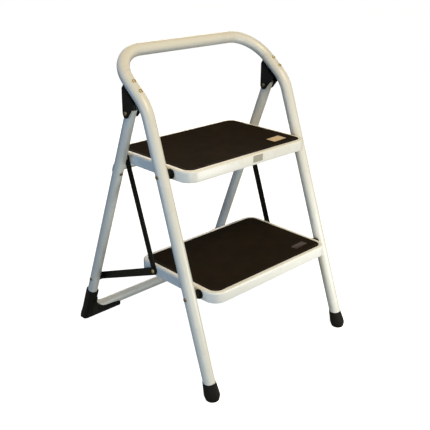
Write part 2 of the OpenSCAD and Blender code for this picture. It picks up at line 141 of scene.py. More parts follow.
def node(tree, kind, inputs=None, **settings):
    """Adds a node; inputs maps a socket's name or number to a value, a socket or a node's first output."""
    made = tree.nodes.new(kind)
    for key, value in settings.items():
        setattr(made, key, value)
    for key, value in (inputs or {}).items():
        if isinstance(value, bpy.types.Node):
            value = value.outputs[0]
        if isinstance(value, bpy.types.NodeSocket):
            tree.links.new(value, made.inputs[key])
        else:
            made.inputs[key].default_value = value
    return made


def new_material(name):
    """Empty material, its node tree and the place on the piece that its patterns read."""
    material = bpy.data.materials.new(name)
    material.use_nodes = True
    tree = material.node_tree
    tree.nodes.clear()
    return material, tree, node(tree, "ShaderNodeTexCoord").outputs["Object"]


def to_object(name, data):
    made = bpy.data.objects.new(name, data)
    bpy.context.scene.collection.objects.link(made)
    return made


def to_mesh(name, shape, smooth_under):
    """Mesh from a bmesh, smooth except across edges sharper than the angle in degrees."""
    for face in shape.faces:
        face.smooth = True
    for edge in shape.edges:
        edge.smooth = not (len(edge.link_faces) == 2 and edge.calc_face_angle(0) > math.radians(smooth_under))
    mesh = bpy.data.meshes.new(name)
    shape.to_mesh(mesh)
    shape.free()
    return mesh


def from_bmesh(name, shape, smooth_under=35):
    """Mesh from a bmesh made here, with its normals turned outward."""
    bmesh.ops.recalc_face_normals(shape, faces=shape.faces)
    return to_mesh(name, shape, smooth_under)


def finish(name, mesh, body, slot, material, nodes=()):
    """Puts a finished mesh in the scene, on its body, in place of its CAD nodes."""
    made = to_object(name, mesh)
    mesh.materials.clear()
    mesh.materials.append(material)
    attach(made, body)
    if nodes:
        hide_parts(*nodes)
    return made


def circle(segments):
    """Angles round a circle, in radians."""
    return [2 * math.pi * k / segments for k in range(segments)]


def loft(shape, loops):
    """Joins loops of equal length with quads and closes the first and the last."""
    rows = [[shape.verts.new(p) for p in loop] for loop in loops]
    for a, b in zip(rows, rows[1:]):
        for i in range(len(a)):
            j = (i + 1) % len(a)
            shape.faces.new((a[i], a[j], b[j], b[i]))
    shape.faces.new(list(reversed(rows[0])))
    shape.faces.new(rows[-1])


def rounded_path(corners, radii, steps=24):
    """Straight runs between corners, turned by arcs of the given radii."""
    path = [corners[0]]
    for before, corner, after, radius in zip(corners, corners[1:], corners[2:], radii):
        a = (corner - before).normalized()
        b = (after - corner).normalized()
        turn = a.angle(b)
        side = (b - a * a.dot(b)).normalized()
        start = corner - a * radius * math.tan(turn / 2)
        for i in range(steps + 1):
            t = turn * i / steps
            path.append(start + side * radius * (1 - math.cos(t)) + a * radius * math.sin(t))
    path.append(corners[-1])
    return path


def sweep_rings(path, radius, segments=56):
    """Circles along a path, carried without twist."""
    rings = []
    side = None
    for i, point in enumerate(path):
        ahead = (path[min(i + 1, len(path) - 1)] - path[max(i - 1, 0)]).normalized()
        if side is None:
            side = ahead.orthogonal().normalized()
        side = (side - ahead * side.dot(ahead)).normalized()
        other = ahead.cross(side)
        rings.append([point + radius * (math.cos(t) * side + math.sin(t) * other) for t in circle(segments)])
    return rings


def tube(name, path, radius, bore_depth, rim=0.0003):
    """Bent tube with an open bore at both ends and a softened rim."""
    outer = sweep_rings(path, radius)
    bore = radius - TUBE_WALL
    mouth = ((bore_depth, bore), (rim, bore), (0.0, bore + rim), (0.0, radius - rim), (rim, radius))

    def mouth_rings(ring, centre, ahead):
        return [[centre + ahead * depth + (p - centre).normalized() * r for p in ring] for depth, r in mouth]

    head = mouth_rings(outer[0], path[0], (path[1] - path[0]).normalized())
    tail = mouth_rings(outer[-1], path[-1], (path[-2] - path[-1]).normalized())
    shape = bmesh.new()
    loft(shape, head + outer[1:-1] + tail[::-1])
    return from_bmesh(name, shape)


def rounded_rectangle(half_w, half_d, radius, z, centre_y, steps=10):
    """Loop round a rectangle with rounded corners, at height z."""
    loop = []
    for quarter, (sx, sy) in enumerate(((1, 1), (-1, 1), (-1, -1), (1, -1))):
        for i in range(steps + 1):
            t = math.radians(90 * quarter + 90 * i / steps)
            loop.append(Vector((sx * (half_w - radius) + radius * math.cos(t),
                                centre_y + sy * (half_d - radius) + radius * math.sin(t), z)))
    return loop


def revolved(name, profile, segments=24):
    """Object turned about Z: profile of (radius, height) pairs from one pole to the other."""
    shape = bmesh.new()
    rows = [[shape.verts.new((r * math.cos(t), r * math.sin(t), h)) for t in (circle(segments) if r else [0.0])]
            for r, h in profile]
    for a, b in zip(rows, rows[1:]):
        for i in range(segments):
            j = (i + 1) % segments
            ring = [a[i % len(a)], a[j % len(a)], b[j % len(b)], b[i % len(b)]]
            shape.faces.new(list(dict.fromkeys(ring)))
    return to_object(name, from_bmesh(name, shape, 30))


# ---- camera ----
CAMERA_PLACE = Vector((-1.071998, -1.121282, 0.926618))
CAMERA_TURN, CAMERA_DIP, CAMERA_ROLL = -0.76970, 0.38920, 0.0063
SENSOR_W, LENS_SHARE, CLIP_END = 36, 701.9014 / 430, 50

forward = Vector((-math.sin(CAMERA_TURN) * math.cos(CAMERA_DIP),
                  math.cos(CAMERA_TURN) * math.cos(CAMERA_DIP), -math.sin(CAMERA_DIP)))
level = forward.cross(Vector((0, 0, 1))).normalized()
upright = level.cross(forward)
camera_x = math.cos(CAMERA_ROLL) * level + math.sin(CAMERA_ROLL) * upright
camera_y = -math.sin(CAMERA_ROLL) * level + math.cos(CAMERA_ROLL) * upright
camera = to_object("camera", bpy.data.cameras.new("camera"))
axes = Matrix((camera_x, camera_y, -forward)).transposed().to_4x4()
camera.matrix_world = Matrix.Translation(CAMERA_PLACE) @ axes
camera.data.sensor_width = SENSOR_W
camera.data.lens = SENSOR_W * LENS_SHARE
camera.data.clip_end = CLIP_END
bpy.context.scene.camera = camera


# ---- materials ----
def powder_coat(name, dark, light):
    """White powder coat on steel: semi-gloss, with the orange peel of sprayed and baked powder,
    a faint cloudiness in the white and a few specks of grime."""
    material, tree, place = new_material(name)
    peel = node(tree, "ShaderNodeTexNoise", {"Vector": place, "Scale": per_mm(1.6), "Detail": 2.0})
    bump = node(tree, "ShaderNodeBump", {"Strength": 0.10, "Distance": 0.0003, "Height": peel})
    cloud = node(tree, "ShaderNodeTexNoise", {"Vector": place, "Scale": per_mm(60), "Detail": 4.0})
    tint = node(tree, "ShaderNodeMix", {0: cloud, 6: linear(dark), 7: linear(light)}, data_type="RGBA")
    speck = node(tree, "ShaderNodeTexVoronoi", {"Vector": place, "Scale": per_mm(9)})
    spots = node(tree, "ShaderNodeMapRange", {
        "Value": speck, "From Min": 0.02, "From Max": 0.06, "To Min": 0.35, "To Max": 0.0})
    dusty = node(tree, "ShaderNodeMix", {0: spots, 6: tint.outputs[2], 7: linear("b9b4a6")}, data_type="RGBA")
    sheen = node(tree, "ShaderNodeMapRange", {"Value": cloud, "To Min": 0.22, "To Max": 0.34})
    shader = node(tree, "ShaderNodeBsdfPrincipled", {
        "Base Color": dusty.outputs[2], "Roughness": sheen, "IOR": 1.5, "Normal": bump})
    node(tree, "ShaderNodeOutputMaterial", {"Surface": shader})
    return material


def black_paint():
    """Black stoving enamel on pressed steel strip: satin, with fine scratches along the strip
    that show grey where they are deepest."""
    material, tree, place = new_material("black_enamelled_steel_strip")
    drawn = node(tree, "ShaderNodeMapping", {"Vector": place, "Scale": (1.0, 0.12, 0.12)})
    scratch = node(tree, "ShaderNodeTexNoise", {"Vector": drawn, "Scale": per_mm(1.0), "Detail": 4.0})
    bump = node(tree, "ShaderNodeBump", {"Strength": 0.12, "Distance": 0.0002, "Height": scratch})
    worn = node(tree, "ShaderNodeMapRange", {
        "Value": scratch, "From Min": 0.62, "From Max": 0.8, "To Min": 0.0, "To Max": 0.25})
    tint = node(tree, "ShaderNodeMix", {0: worn, 6: linear("080905"), 7: linear("2a2a26")}, data_type="RGBA")
    shader = node(tree, "ShaderNodeBsdfPrincipled", {
        "Base Color": tint.outputs[2], "Roughness": 0.42, "IOR": 1.5, "Specular IOR Level": 0.1, "Normal": bump})
    node(tree, "ShaderNodeOutputMaterial", {"Surface": shader})
    return material


def moulded(name, dark, light, roughness, grain_mm, strength):
    """Injection moulding with a spark-eroded grain from its tool, slightly cloudy in tone."""
    material, tree, place = new_material(name)
    grain = node(tree, "ShaderNodeTexNoise", {"Vector": place, "Scale": per_mm(grain_mm), "Detail": 3.0})
    bump = node(tree, "ShaderNodeBump", {"Strength": strength, "Distance": 0.0003, "Height": grain})
    cloud = node(tree, "ShaderNodeTexNoise", {"Vector": place, "Scale": per_mm(25), "Detail": 3.0})
    tint = node(tree, "ShaderNodeMix", {0: cloud, 6: linear(dark), 7: linear(light)}, data_type="RGBA")
    shader = node(tree, "ShaderNodeBsdfPrincipled", {
        "Base Color": tint.outputs[2], "Roughness": roughness, "IOR": 1.5, "Specular IOR Level": 0.1,
        "Normal": bump})
    node(tree, "ShaderNodeOutputMaterial", {"Surface": shader})
    return material


def mat_rubber():
    """Brown-black rubber matting, matt, pebbled between its fine ribs and dusty in patches."""
    material, tree, place = new_material("brown_black_rubber_matting")
    pebble = node(tree, "ShaderNodeTexVoronoi", {"Vector": place, "Scale": per_mm(1.4)})
    bump = node(tree, "ShaderNodeBump", {"Strength": 0.25, "Distance": 0.0003, "Height": pebble})
    patch = node(tree, "ShaderNodeTexNoise", {
        "Vector": place, "Scale": per_mm(45), "Detail": 5.0, "Roughness": 0.6})
    wear = node(tree, "ShaderNodeMapRange", {"Value": patch, "From Min": 0.35, "From Max": 0.7})
    tint = node(tree, "ShaderNodeMix", {0: wear, 6: linear("19130a"), 7: linear("241b0e")}, data_type="RGBA")
    shader = node(tree, "ShaderNodeBsdfPrincipled", {
        "Base Color": tint.outputs[2], "Roughness": 0.72, "IOR": 1.52, "Specular IOR Level": 0.03, "Normal": bump})
    node(tree, "ShaderNodeOutputMaterial", {"Surface": shader})
    return material


def zinc(name, dark, light):
    """Yellow-passivated zinc plate on a rivet: metal, blotchy in tone as the passivation runs."""
    material, tree, place = new_material(name)
    blotch = node(tree, "ShaderNodeTexNoise", {"Vector": place, "Scale": per_mm(3), "Detail": 3.0})
    tint = node(tree, "ShaderNodeMix", {0: blotch, 6: linear(dark), 7: linear(light)}, data_type="RGBA")
    rough = node(tree, "ShaderNodeMapRange", {"Value": blotch, "To Min": 0.25, "To Max": 0.45})
    shader = node(tree, "ShaderNodeBsdfPrincipled", {
        "Base Color": tint.outputs[2], "Metallic": 1.0, "Roughness": rough})
    node(tree, "ShaderNodeOutputMaterial", {"Surface": shader})
    return material


def label_film(name, dark, light):
    """Plain label: smooth film or paper with a slight satin, a faint ripple and no print."""
    material, tree, place = new_material(name)
    ripple = node(tree, "ShaderNodeTexNoise", {"Vector": place, "Scale": per_mm(8), "Detail": 1.0})
    bump = node(tree, "ShaderNodeBump", {"Strength": 0.05, "Distance": 0.0002, "Height": ripple})
    tint = node(tree, "ShaderNodeMix", {0: ripple, 6: linear(dark), 7: linear(light)}, data_type="RGBA")
    shader = node(tree, "ShaderNodeBsdfPrincipled", {
        "Base Color": tint.outputs[2], "Roughness": 0.6, "IOR": 1.5, "Specular IOR Level": 0.2, "Normal": bump})
    node(tree, "ShaderNodeOutputMaterial", {"Surface": shader})
    return material


COAT = powder_coat("white_powder_coated_steel_tube", "e9e7e0", "f1f0ea")
# The pressings' coat is the tubes' white powder coat painted brighter: the extra whiteness is painted light, standing
# in for the stronger light that falls on the treads.
PRESSING_COAT_WITH_PAINTED_LIGHT = powder_coat("white_powder_coat_pressing_with_painted_light", "f5f4f0", "fbfaf7")
ENAMEL = black_paint()
MATTING = mat_rubber()
LABEL = label_film("plain_cream_vinyl_label", "e2c69c", "ecd4ae")
DARK_LABEL = label_film("plain_brown_paper_label", "2c1e14", "3a281c")
PAPER = label_film("plain_grey_paper_label", "a8a49a", "b8b4aa")
PLASTIC = moulded("black_moulded_polypropylene", "0e0f0c", "171815", 0.5, 0.9, 0.15)
FOOT_RUBBER = moulded("black_moulded_foot_rubber", "100f0c", "191713", 0.6, 1.2, 0.2)
ZINC = zinc("yellow_zinc_plated_steel", "8a784c", "b8a474")
ZINC_DULL = zinc("dull_zinc_plated_steel", "4a4436", "7a705c")
FINISH = {"frame_powder_coat": COAT, "tread_powder_coat": PRESSING_COAT_WITH_PAINTED_LIGHT, "mat_rubber": MATTING,
          "foot_rubber": FOOT_RUBBER, "black_plastic": PLASTIC, "black_steel": ENAMEL, "zinc_rivet": ZINC}
SLOT_OF = {entry["node"]: entry["material_slot"] for entry in frame["record"]["subparts"]}
BODY_OF = {name: body for body, names in frame["record"]["behaviour"]["bodies"].items() for name in names}
for name, slot in SLOT_OF.items():
    for material_slot in frame["nodes"][name].material_slots:
        material_slot.material = FINISH[slot]


# ---- tubes ----
def front_hoop():
    """Both legs, the bends back to the grip, the corners and the handle, from foot to foot."""
    top = BEND_Z + GRIP_L * cos(GRIP_LEAN)
    handle_y = front_leg(BEND_Z).y + GRIP_L * sin(GRIP_LEAN)
    runs = [[front_leg(FOOT_IN * cos(FRONT_LEAN), side), front_leg(BEND_Z, side),
             Vector((side * front_leg(top).x, handle_y, top))] for side in (-1, 1)]
    path = rounded_path(runs[0] + runs[1][::-1], (BEND_R, HANDLE_R, HANDLE_R, BEND_R))
    mesh = tube("front_hoop_tube", path, HOOP_R, bore_depth=0.03)
    finish("front_hoop_tube", mesh, "front_frame", "frame_powder_coat", COAT, ["front_hoop"])


def rear_frame():
    """Both rear legs and the bottom bar."""
    end_z = hinge.z + LEG_OVER * cos(rear_lean)
    corners = [rear_leg(end_z, -1), rear_leg(BAR_Z, -1), rear_leg(BAR_Z), rear_leg(end_z)]
    mesh = tube("rear_frame_tube", rounded_path(corners, (BAR_R, BAR_R)), REAR_R, bore_depth=0.04)
    finish("rear_frame_tube", mesh, "rear_leg_frame", "frame_powder_coat", COAT, ["rear_frame"])


# ---- treads ----
def tread(name, body, pivot_y, pivot_in, top_z):
    """Pressed tread: recessed deck, rounded rim, skirt and a rolled lower lip, all one sheet."""
    centre_y = pivot_y - pivot_in + TREAD_D / 2
    lip, lip_w, inner = -SKIRT_H, 0.0079, RIM_W - SHEET
    quarter = [math.radians(a) for a in range(0, 91, 15)]
    # (inset from the skirt, height) from the recess over the rim, down outside and back up inside
    section = [(RIM_W, -MAT_LET), (RIM_W, -0.0004), (RIM_W - 0.0004, 0.0)]
    section += [(EDGE_R * (1 - math.sin(t)), -EDGE_R * (1 - math.cos(t))) for t in quarter]
    section += [(0.0, lip + 0.0022), (0.0003, lip + 0.0009), (0.0011, lip + 0.0002), (0.002, lip)]
    section += [(lip_w - 0.0005, lip), (lip_w, lip + 0.0004), (lip_w, lip + 0.0011), (lip_w - 0.0005, lip + SHEET)]
    section += [(0.0032, lip + SHEET), (0.002, lip + 0.0022), (SHEET, lip + 0.0034)]
    section += [(SHEET, -EDGE_R), (SHEET + 0.0008, -0.0023), (EDGE_R, -SHEET)]
    section += [(inner - 0.0004, -SHEET), (inner, -0.002), (inner, -MAT_LET - SHEET)]
    shape = bmesh.new()
    loft(shape, [rounded_rectangle(skirt_x - inset, TREAD_D / 2 - inset, TREAD_R - inset, top_z + z, centre_y)
                 for inset, z in section])
    mesh = from_bmesh(name + "_pressing", shape, 40)
    finish(name + "_pressing", mesh, body, "tread_powder_coat", PRESSING_COAT_WITH_PAINTED_LIGHT, [name])
    return centre_y


def rib_tree():
    """Fine ribs across a mat, each as long as the mat's rounded outline is at that place."""
    tree = bpy.data.node_groups.new("mat_ribs", "GeometryNodeTree")
    face = tree.interface
    face.new_socket("Geometry", in_out="INPUT", socket_type="NodeSocketGeometry")
    for label, value in (("Width", 0.35), ("Depth", 0.23), ("Corner radius", 0.02), ("Pitch", 0.0026),
                         ("Rib width", 0.0014), ("Sunk", 0.0004)):
        face.new_socket(label, in_out="INPUT", socket_type="NodeSocketFloat").default_value = value
    face.new_socket("Finish", in_out="INPUT", socket_type="NodeSocketMaterial")
    face.new_socket("Geometry", in_out="OUTPUT", socket_type="NodeSocketGeometry")

    given = node(tree, "NodeGroupInput").outputs
    place = node(tree, "ShaderNodeSeparateXYZ", {0: node(tree, "GeometryNodeInputPosition")})
    known = {socket.name: socket for socket in given if socket.name} | {"y": place.outputs[1]}
    for name, operation, a, b in (
            ("pitches", "DIVIDE", "Depth", "Pitch"), ("count", "FLOOR", "pitches", 0.0),
            ("first", "MULTIPLY", "Depth", -0.5), ("low", "MULTIPLY", "Sunk", -1.0),
            # how far a rib lies past the square part of the outline, and what the corner leaves of it there
            ("half depth", "MULTIPLY", "Depth", 0.5), ("square part", "SUBTRACT", "half depth", "Corner radius"),
            ("away", "ABSOLUTE", "y", 0.0), ("past", "SUBTRACT", "away", "square part"),
            ("over", "MAXIMUM", "past", 0.0), ("over squared", "MULTIPLY", "over", "over"),
            ("corner squared", "MULTIPLY", "Corner radius", "Corner radius"),
            ("left squared", "SUBTRACT", "corner squared", "over squared"),
            ("left", "MAXIMUM", "left squared", 0.0), ("round part", "SQRT", "left", 0.0),
            ("half width", "MULTIPLY", "Width", 0.5), ("straight part", "SUBTRACT", "half width", "Corner radius"),
            ("reach", "ADD", "straight part", "round part"), ("rib radius", "MULTIPLY", "Rib width", 0.5)):
        known[name] = node(tree, "ShaderNodeMath", {0: known.get(a, a), 1: known.get(b, b)}, operation=operation)
    start = node(tree, "ShaderNodeCombineXYZ", {1: known["first"], 2: known["low"]})
    step = node(tree, "ShaderNodeCombineXYZ", {1: known["Pitch"]})
    line = node(tree, "GeometryNodeMeshLine", {"Count": known["count"], "Start Location": start, "Offset": step})
    axis = node(tree, "GeometryNodeCurvePrimitiveLine", {"Start": (-1, 0, 0), "End": (1, 0, 0)})
    round_bar = node(tree, "GeometryNodeCurvePrimitiveCircle", {"Resolution": 8, "Radius": known["rib radius"]})
    rib = node(tree, "GeometryNodeCurveToMesh", {"Curve": axis, "Profile Curve": round_bar, "Fill Caps": True})
    size = node(tree, "ShaderNodeCombineXYZ", {0: known["reach"], 1: 1.0, 2: 1.0})
    laid = node(tree, "GeometryNodeInstanceOnPoints", {"Points": line, "Instance": rib, "Scale": size})
    real = node(tree, "GeometryNodeRealizeInstances", {0: laid})
    done = node(tree, "GeometryNodeSetMaterial", {"Geometry": real, "Material": given["Finish"]})
    node(tree, "NodeGroupOutput", {0: done})
    return tree


def grown(tree, inputs, points=None):
    """Plain mesh that a node tree makes from its named inputs, on the given points."""
    holder = to_object("holder", points or bpy.data.meshes.new("holder"))
    modifier = holder.modifiers.new("grow", "NODES")
    modifier.node_group = tree
    for item in tree.interface.items_tree:
        if item.item_type == "SOCKET" and item.in_out == "INPUT" and item.name in inputs:
            modifier[item.identifier] = inputs[item.name]
    mesh = bpy.data.meshes.new_from_object(holder.evaluated_get(bpy.context.evaluated_depsgraph_get()))
    holder.modifiers.clear()
    bpy.data.objects.remove(holder)
    return mesh


def mat(name, body, centre_y, top_z):
    """Rubber mat let into the tread: slab with a rounded upper edge, a border and fine ribs."""
    half_w = skirt_x - RIM_W - MAT_GAP
    half_d = TREAD_D / 2 - RIM_W - MAT_GAP
    corner = TREAD_R - RIM_W
    border, bed, rib_in, rib_sunk = 0.0055, 0.0004, 0.007, 0.0003
    section = [(0.0003, -MAT_LET), (0.0, -MAT_LET + 0.0003), (0.0, 0.0001), (0.0002, 0.0005), (0.0006, MAT_UP),
               (border, MAT_UP), (border + 0.0005, MAT_UP - bed)]
    shape = bmesh.new()
    loft(shape, [rounded_rectangle(half_w - inset, half_d - inset, corner - inset, top_z + z, centre_y)
                 for inset, z in section])
    ribs = grown(RIBS, {"Width": 2 * (half_w - rib_in), "Depth": 2 * (half_d - rib_in),
                        "Corner radius": corner - rib_in, "Finish": MATTING})
    ribs.transform(Matrix.Translation((0, centre_y, top_z + MAT_UP - rib_sunk)))
    shape.from_mesh(ribs)
    finish(name + "_rubber", from_bmesh(name + "_rubber", shape, 50), body, "mat_rubber", MATTING, [name])


def blank_label(name, body, material, origin, along, across, thickness=0.00025, soft=0.0012):
    """Thin plain label with softened corners on a face given by three of its corners."""
    u, v = along - origin, across - origin
    u_side, v_side = u.normalized(), v.normalized()
    out = u.cross(v).normalized()
    loop = []
    for quarter, (a, b) in enumerate(((1, 1), (0, 1), (0, 0), (1, 0))):
        centre = origin + u_side * (soft + a * (u.length - 2 * soft)) + v_side * (soft + b * (v.length - 2 * soft))
        for i in range(5):
            t = math.radians(90 * quarter + 22.5 * i)
            loop.append(centre + soft * (math.cos(t) * u_side + math.sin(t) * v_side))
    middle = sum(loop, Vector()) / len(loop)
    shape = bmesh.new()
    loft(shape, [loop, [p + out * thickness * 0.7 for p in loop],
                 [middle + (p - middle) * 0.995 + out * thickness for p in loop]])
    finish(name, from_bmesh(name, shape), body, "mat_rubber", material)


# ---- rivets ----
def rivet_tree():
    """Heads and shanks on points: each point carries its direction and sizes."""
    tree = bpy.data.node_groups.new("rivets", "GeometryNodeTree")
    face = tree.interface
    for label, kind in (("Geometry", "Geometry"), ("Head", "Object"), ("Shank", "Object"), ("Finish", "Material")):
        face.new_socket(label, in_out="INPUT", socket_type="NodeSocket" + kind)
    face.new_socket("Geometry", in_out="OUTPUT", socket_type="NodeSocketGeometry")
    given = node(tree, "NodeGroupInput").outputs
    facing = node(tree, "GeometryNodeInputNamedAttribute", {"Name": "facing"}, data_type="FLOAT_VECTOR")
    turn = node(tree, "FunctionNodeAlignRotationToVector", {"Vector": facing}, axis="Z")
    both = node(tree, "GeometryNodeJoinGeometry")
    for part in ("Head", "Shank"):
        size = node(tree, "GeometryNodeInputNamedAttribute", {"Name": part.lower()}, data_type="FLOAT_VECTOR")
        shape = node(tree, "GeometryNodeObjectInfo", {"Object": given[part]}).outputs["Geometry"]
        laid = node(tree, "GeometryNodeInstanceOnPoints", {
            "Points": given["Geometry"], "Instance": shape, "Rotation": turn, "Scale": size})
        tree.links.new(laid.outputs[0], both.inputs[0])
    real = node(tree, "GeometryNodeRealizeInstances", {0: both})
    done = node(tree, "GeometryNodeSetMaterial", {"Geometry": real, "Material": given["Finish"]})
    node(tree, "NodeGroupOutput", {0: done})
    return tree


def rivets(name, body, material, nodes, listed):
    """listed: (place of the head's underside, facing, head radius, head height, shank radius, shank length)."""
    points = bpy.data.meshes.new(name + "_points")
    points.from_pydata([row[0] for row in listed], [], [])
    for label, values in (("facing", [row[1].normalized() for row in listed]),
                          ("head", [(row[2], row[2], row[3]) for row in listed]),
                          ("shank", [(row[4], row[4], row[5]) for row in listed])):
        layer = points.attributes.new(label, "FLOAT_VECTOR", "POINT")
        layer.data.foreach_set("vector", [c for value in values for c in value])
    mesh = grown(RIVETS, {"Head": HEAD_SHAPE, "Shank": SHANK_SHAPE, "Finish": material}, points)
    mesh.name = name
    finish(name, mesh, body, "zinc_rivet", material, nodes)


def front_rivets():
    """Rivets of the brackets through the grip, of the hinges and of the treads' pivots."""
    reach = REAR_R + EAR_GAP + EAR_T
    over = Vector((0, -cos(GRIP_LEAN), sin(GRIP_LEAN)))
    bracket, hinges, pivots = [], [], []
    for side in (-1, 1):
        x = Vector((side, 0, 0))
        for along in (BRACKET_RIVET, BRACKET_RIVET + BRACKET_RIVET_STEP):
            above, below = grip(along, -HOOP_R, side), grip(along, HOOP_R + WEB_T, side)
            bracket.append((above, over, SMALL_HEAD, DOME_H, SMALL_PIN, 2 * HOOP_R + WEB_T))
            bracket.append((below, -over, SMALL_HEAD, DOME_H, SMALL_PIN, WEB_T))
        pin = Vector((side * hinge.x, hinge.y, hinge.z))
        hinges.append((pin + x * reach, x, HEAD_R, DOME_H, PIN_R, 2 * reach))
        hinges.append((pin - x * reach, -x, HEAD_R, HEAD_H, PIN_R, STUB))
        for z in (up_z, low_z):
            leg = front_leg(z, side)
            outer = leg + x * HOOP_R
            inner = Vector((side * (skirt_x - SHEET - SIDE_GAP), leg.y, z))
            pivots.append((outer, x, HEAD_R, DOME_H, PIN_R, abs(outer.x - inner.x)))
            pivots.append((inner, -x, HEAD_R, HEAD_H, PIN_R, STUB))
    rivets("bracket_rivet_set", "front_frame", ZINC, ["bracket_rivets"], bracket)
    rivets("hinge_rivet_set", "front_frame", ZINC_DULL, ["hinge_rivets"], hinges)
    rivets("tread_pivot_rivet_set", "front_frame", ZINC_DULL, ["upper_pivot_rivets", "lower_pivot_rivets"], pivots)


def link_rivets():
    """Rivets of the risers: at the top through skirt and riser, at the foot through the stay as well."""
    for name, body, pivot_z, layers_x in (("riser_top_rivets", "upper_step", up_z, riser_x),
                                          ("riser_foot_rivets", "lower_step", low_z, stay_x)):
        y, x_head = front_leg(pivot_z).y + CRANK, layers_x + LINK_T + SIDE_GAP
        listed = []
        for side in (-1, 1):
            x = Vector((side, 0, 0))
            outer, inner = Vector((side * x_head, y, pivot_z)), Vector((side * (skirt_x - SHEET), y, pivot_z))
            listed.append((outer, x, HEAD_R, HEAD_H, PIN_R, x_head - skirt_x + SHEET))
            listed.append((inner, -x, HEAD_R, HEAD_H, PIN_R, STUB))
        rivets(name + "_set", body, ZINC, [name], listed)


def rear_rivets():
    """Rivets of the stop bar's ends, through the rear legs from behind, and of the stays' rear pivots."""
    stop_z = TREAD_Z - SKIRT_H - SIDE_GAP - STOP_D / 2
    leg_z = stop_z - (REAR_R + STOP_TAB_T / 2) * sin(rear_lean)
    behind = Vector((0, cos(rear_lean), sin(rear_lean)))
    inner = stay_x + LINK_T + SIDE_GAP
    stops, stays = [], []
    for side in (-1, 1):
        x = Vector((side, 0, 0))
        leg = rear_leg(leg_z, side)
        stops.append((leg - behind * REAR_R, -behind, SMALL_HEAD, DOME_H, SMALL_PIN, 2 * REAR_R + STOP_TAB_T))
        stops.append((leg + behind * (REAR_R + STOP_TAB_T), behind, SMALL_HEAD, HEAD_H, SMALL_PIN, STUB))
        leg = rear_leg(STAY_Z, side)
        stays.append((leg + x * REAR_R, x, HEAD_R, DOME_H, PIN_R, abs(leg.x) + REAR_R - inner))
    rivets("stop_bar_rivet_set", "rear_leg_frame", ZINC_DULL, ["stop_bar_rivets"], stops)
    rivets("stay_pivot_rivet_set", "rear_leg_frame", ZINC_DULL, ["stay_pivot_rivets"], stays)


# ---- feet, shoes, brackets and links ----
def front_foot(name, side):
    """Moulded rubber foot: thin rim round the leg, cone, widest ring, then a rounded edge to the sole."""
    angles = circle(56)
    sole, top, fit = FOOT_R - 0.0035, HOOP_R + 0.0015, HOOP_R + 0.00005

    def ring(z, radius, axis_z, toe=0.0):
        """Level ring round the leg's axis at height axis_z, drawn up at the front by toe."""
        centre = front_leg(axis_z, side)
        return [Vector((centre.x + radius * math.cos(t), centre.y + radius * math.sin(t),
                        z + toe * max(0.0, math.cos(t + math.pi / 2)) ** 6)) for t in angles]

    def bore(z):
        """Level cut through the leaning bore that takes the leg."""
        centre = front_leg(z, side)
        return [Vector((centre.x + fit * math.cos(t), centre.y + fit * math.sin(t) / cos(FRONT_LEAN), z))
                for t in angles]

    rings = [(0.0012, sole - 0.004, 0.007), (0.0004, sole - 0.003, 0.007), (0.0, sole - 0.0012, 0.007),
             (0.0003, sole - 0.0003, 0.007), (0.0012, sole + 0.0006, 0.0075), (0.004, FOOT_R - 0.0018, 0.0085),
             (0.0075, FOOT_R - 0.0008, 0.010), (0.011, FOOT_R, FOOT_WIDE_Z), (0.0135, FOOT_R - 0.0001, 0.0135),
             (0.024, FOOT_R - 0.0012, 0.024), (0.034, top + 0.0003, 0.034),
             (FOOT_H - 0.0012, top, FOOT_H - 0.0012), (FOOT_H - 0.0003, top - 0.0002, FOOT_H, 0.0012),
             (FOOT_H, top - 0.0006, FOOT_H, 0.0016)]
    shape = bmesh.new()
    loft(shape, [ring(*row) for row in rings] + [bore(FOOT_H - 0.0005), bore(0.0135)])
    mesh = from_bmesh("foot", shape, 50)
    finish(f"moulded_foot_{name}", mesh, "front_frame", "foot_rubber", FOOT_RUBBER, [f"front_foot_{name}"])


def offset(outline, inward):
    """Outline of (x, height) pairs moved inwards by a distance."""
    moved = []
    for before, here, after in zip(outline[-1:] + outline[:-1], outline, outline[1:] + outline[:1]):
        a = Vector((here[0] - before[0], here[1] - before[1])).normalized()
        b = Vector((after[0] - here[0], after[1] - here[1])).normalized()
        lean = (a + b).normalized()
        moved.append((here[0] - lean.y * inward, here[1] + lean.x * inward))
    return moved


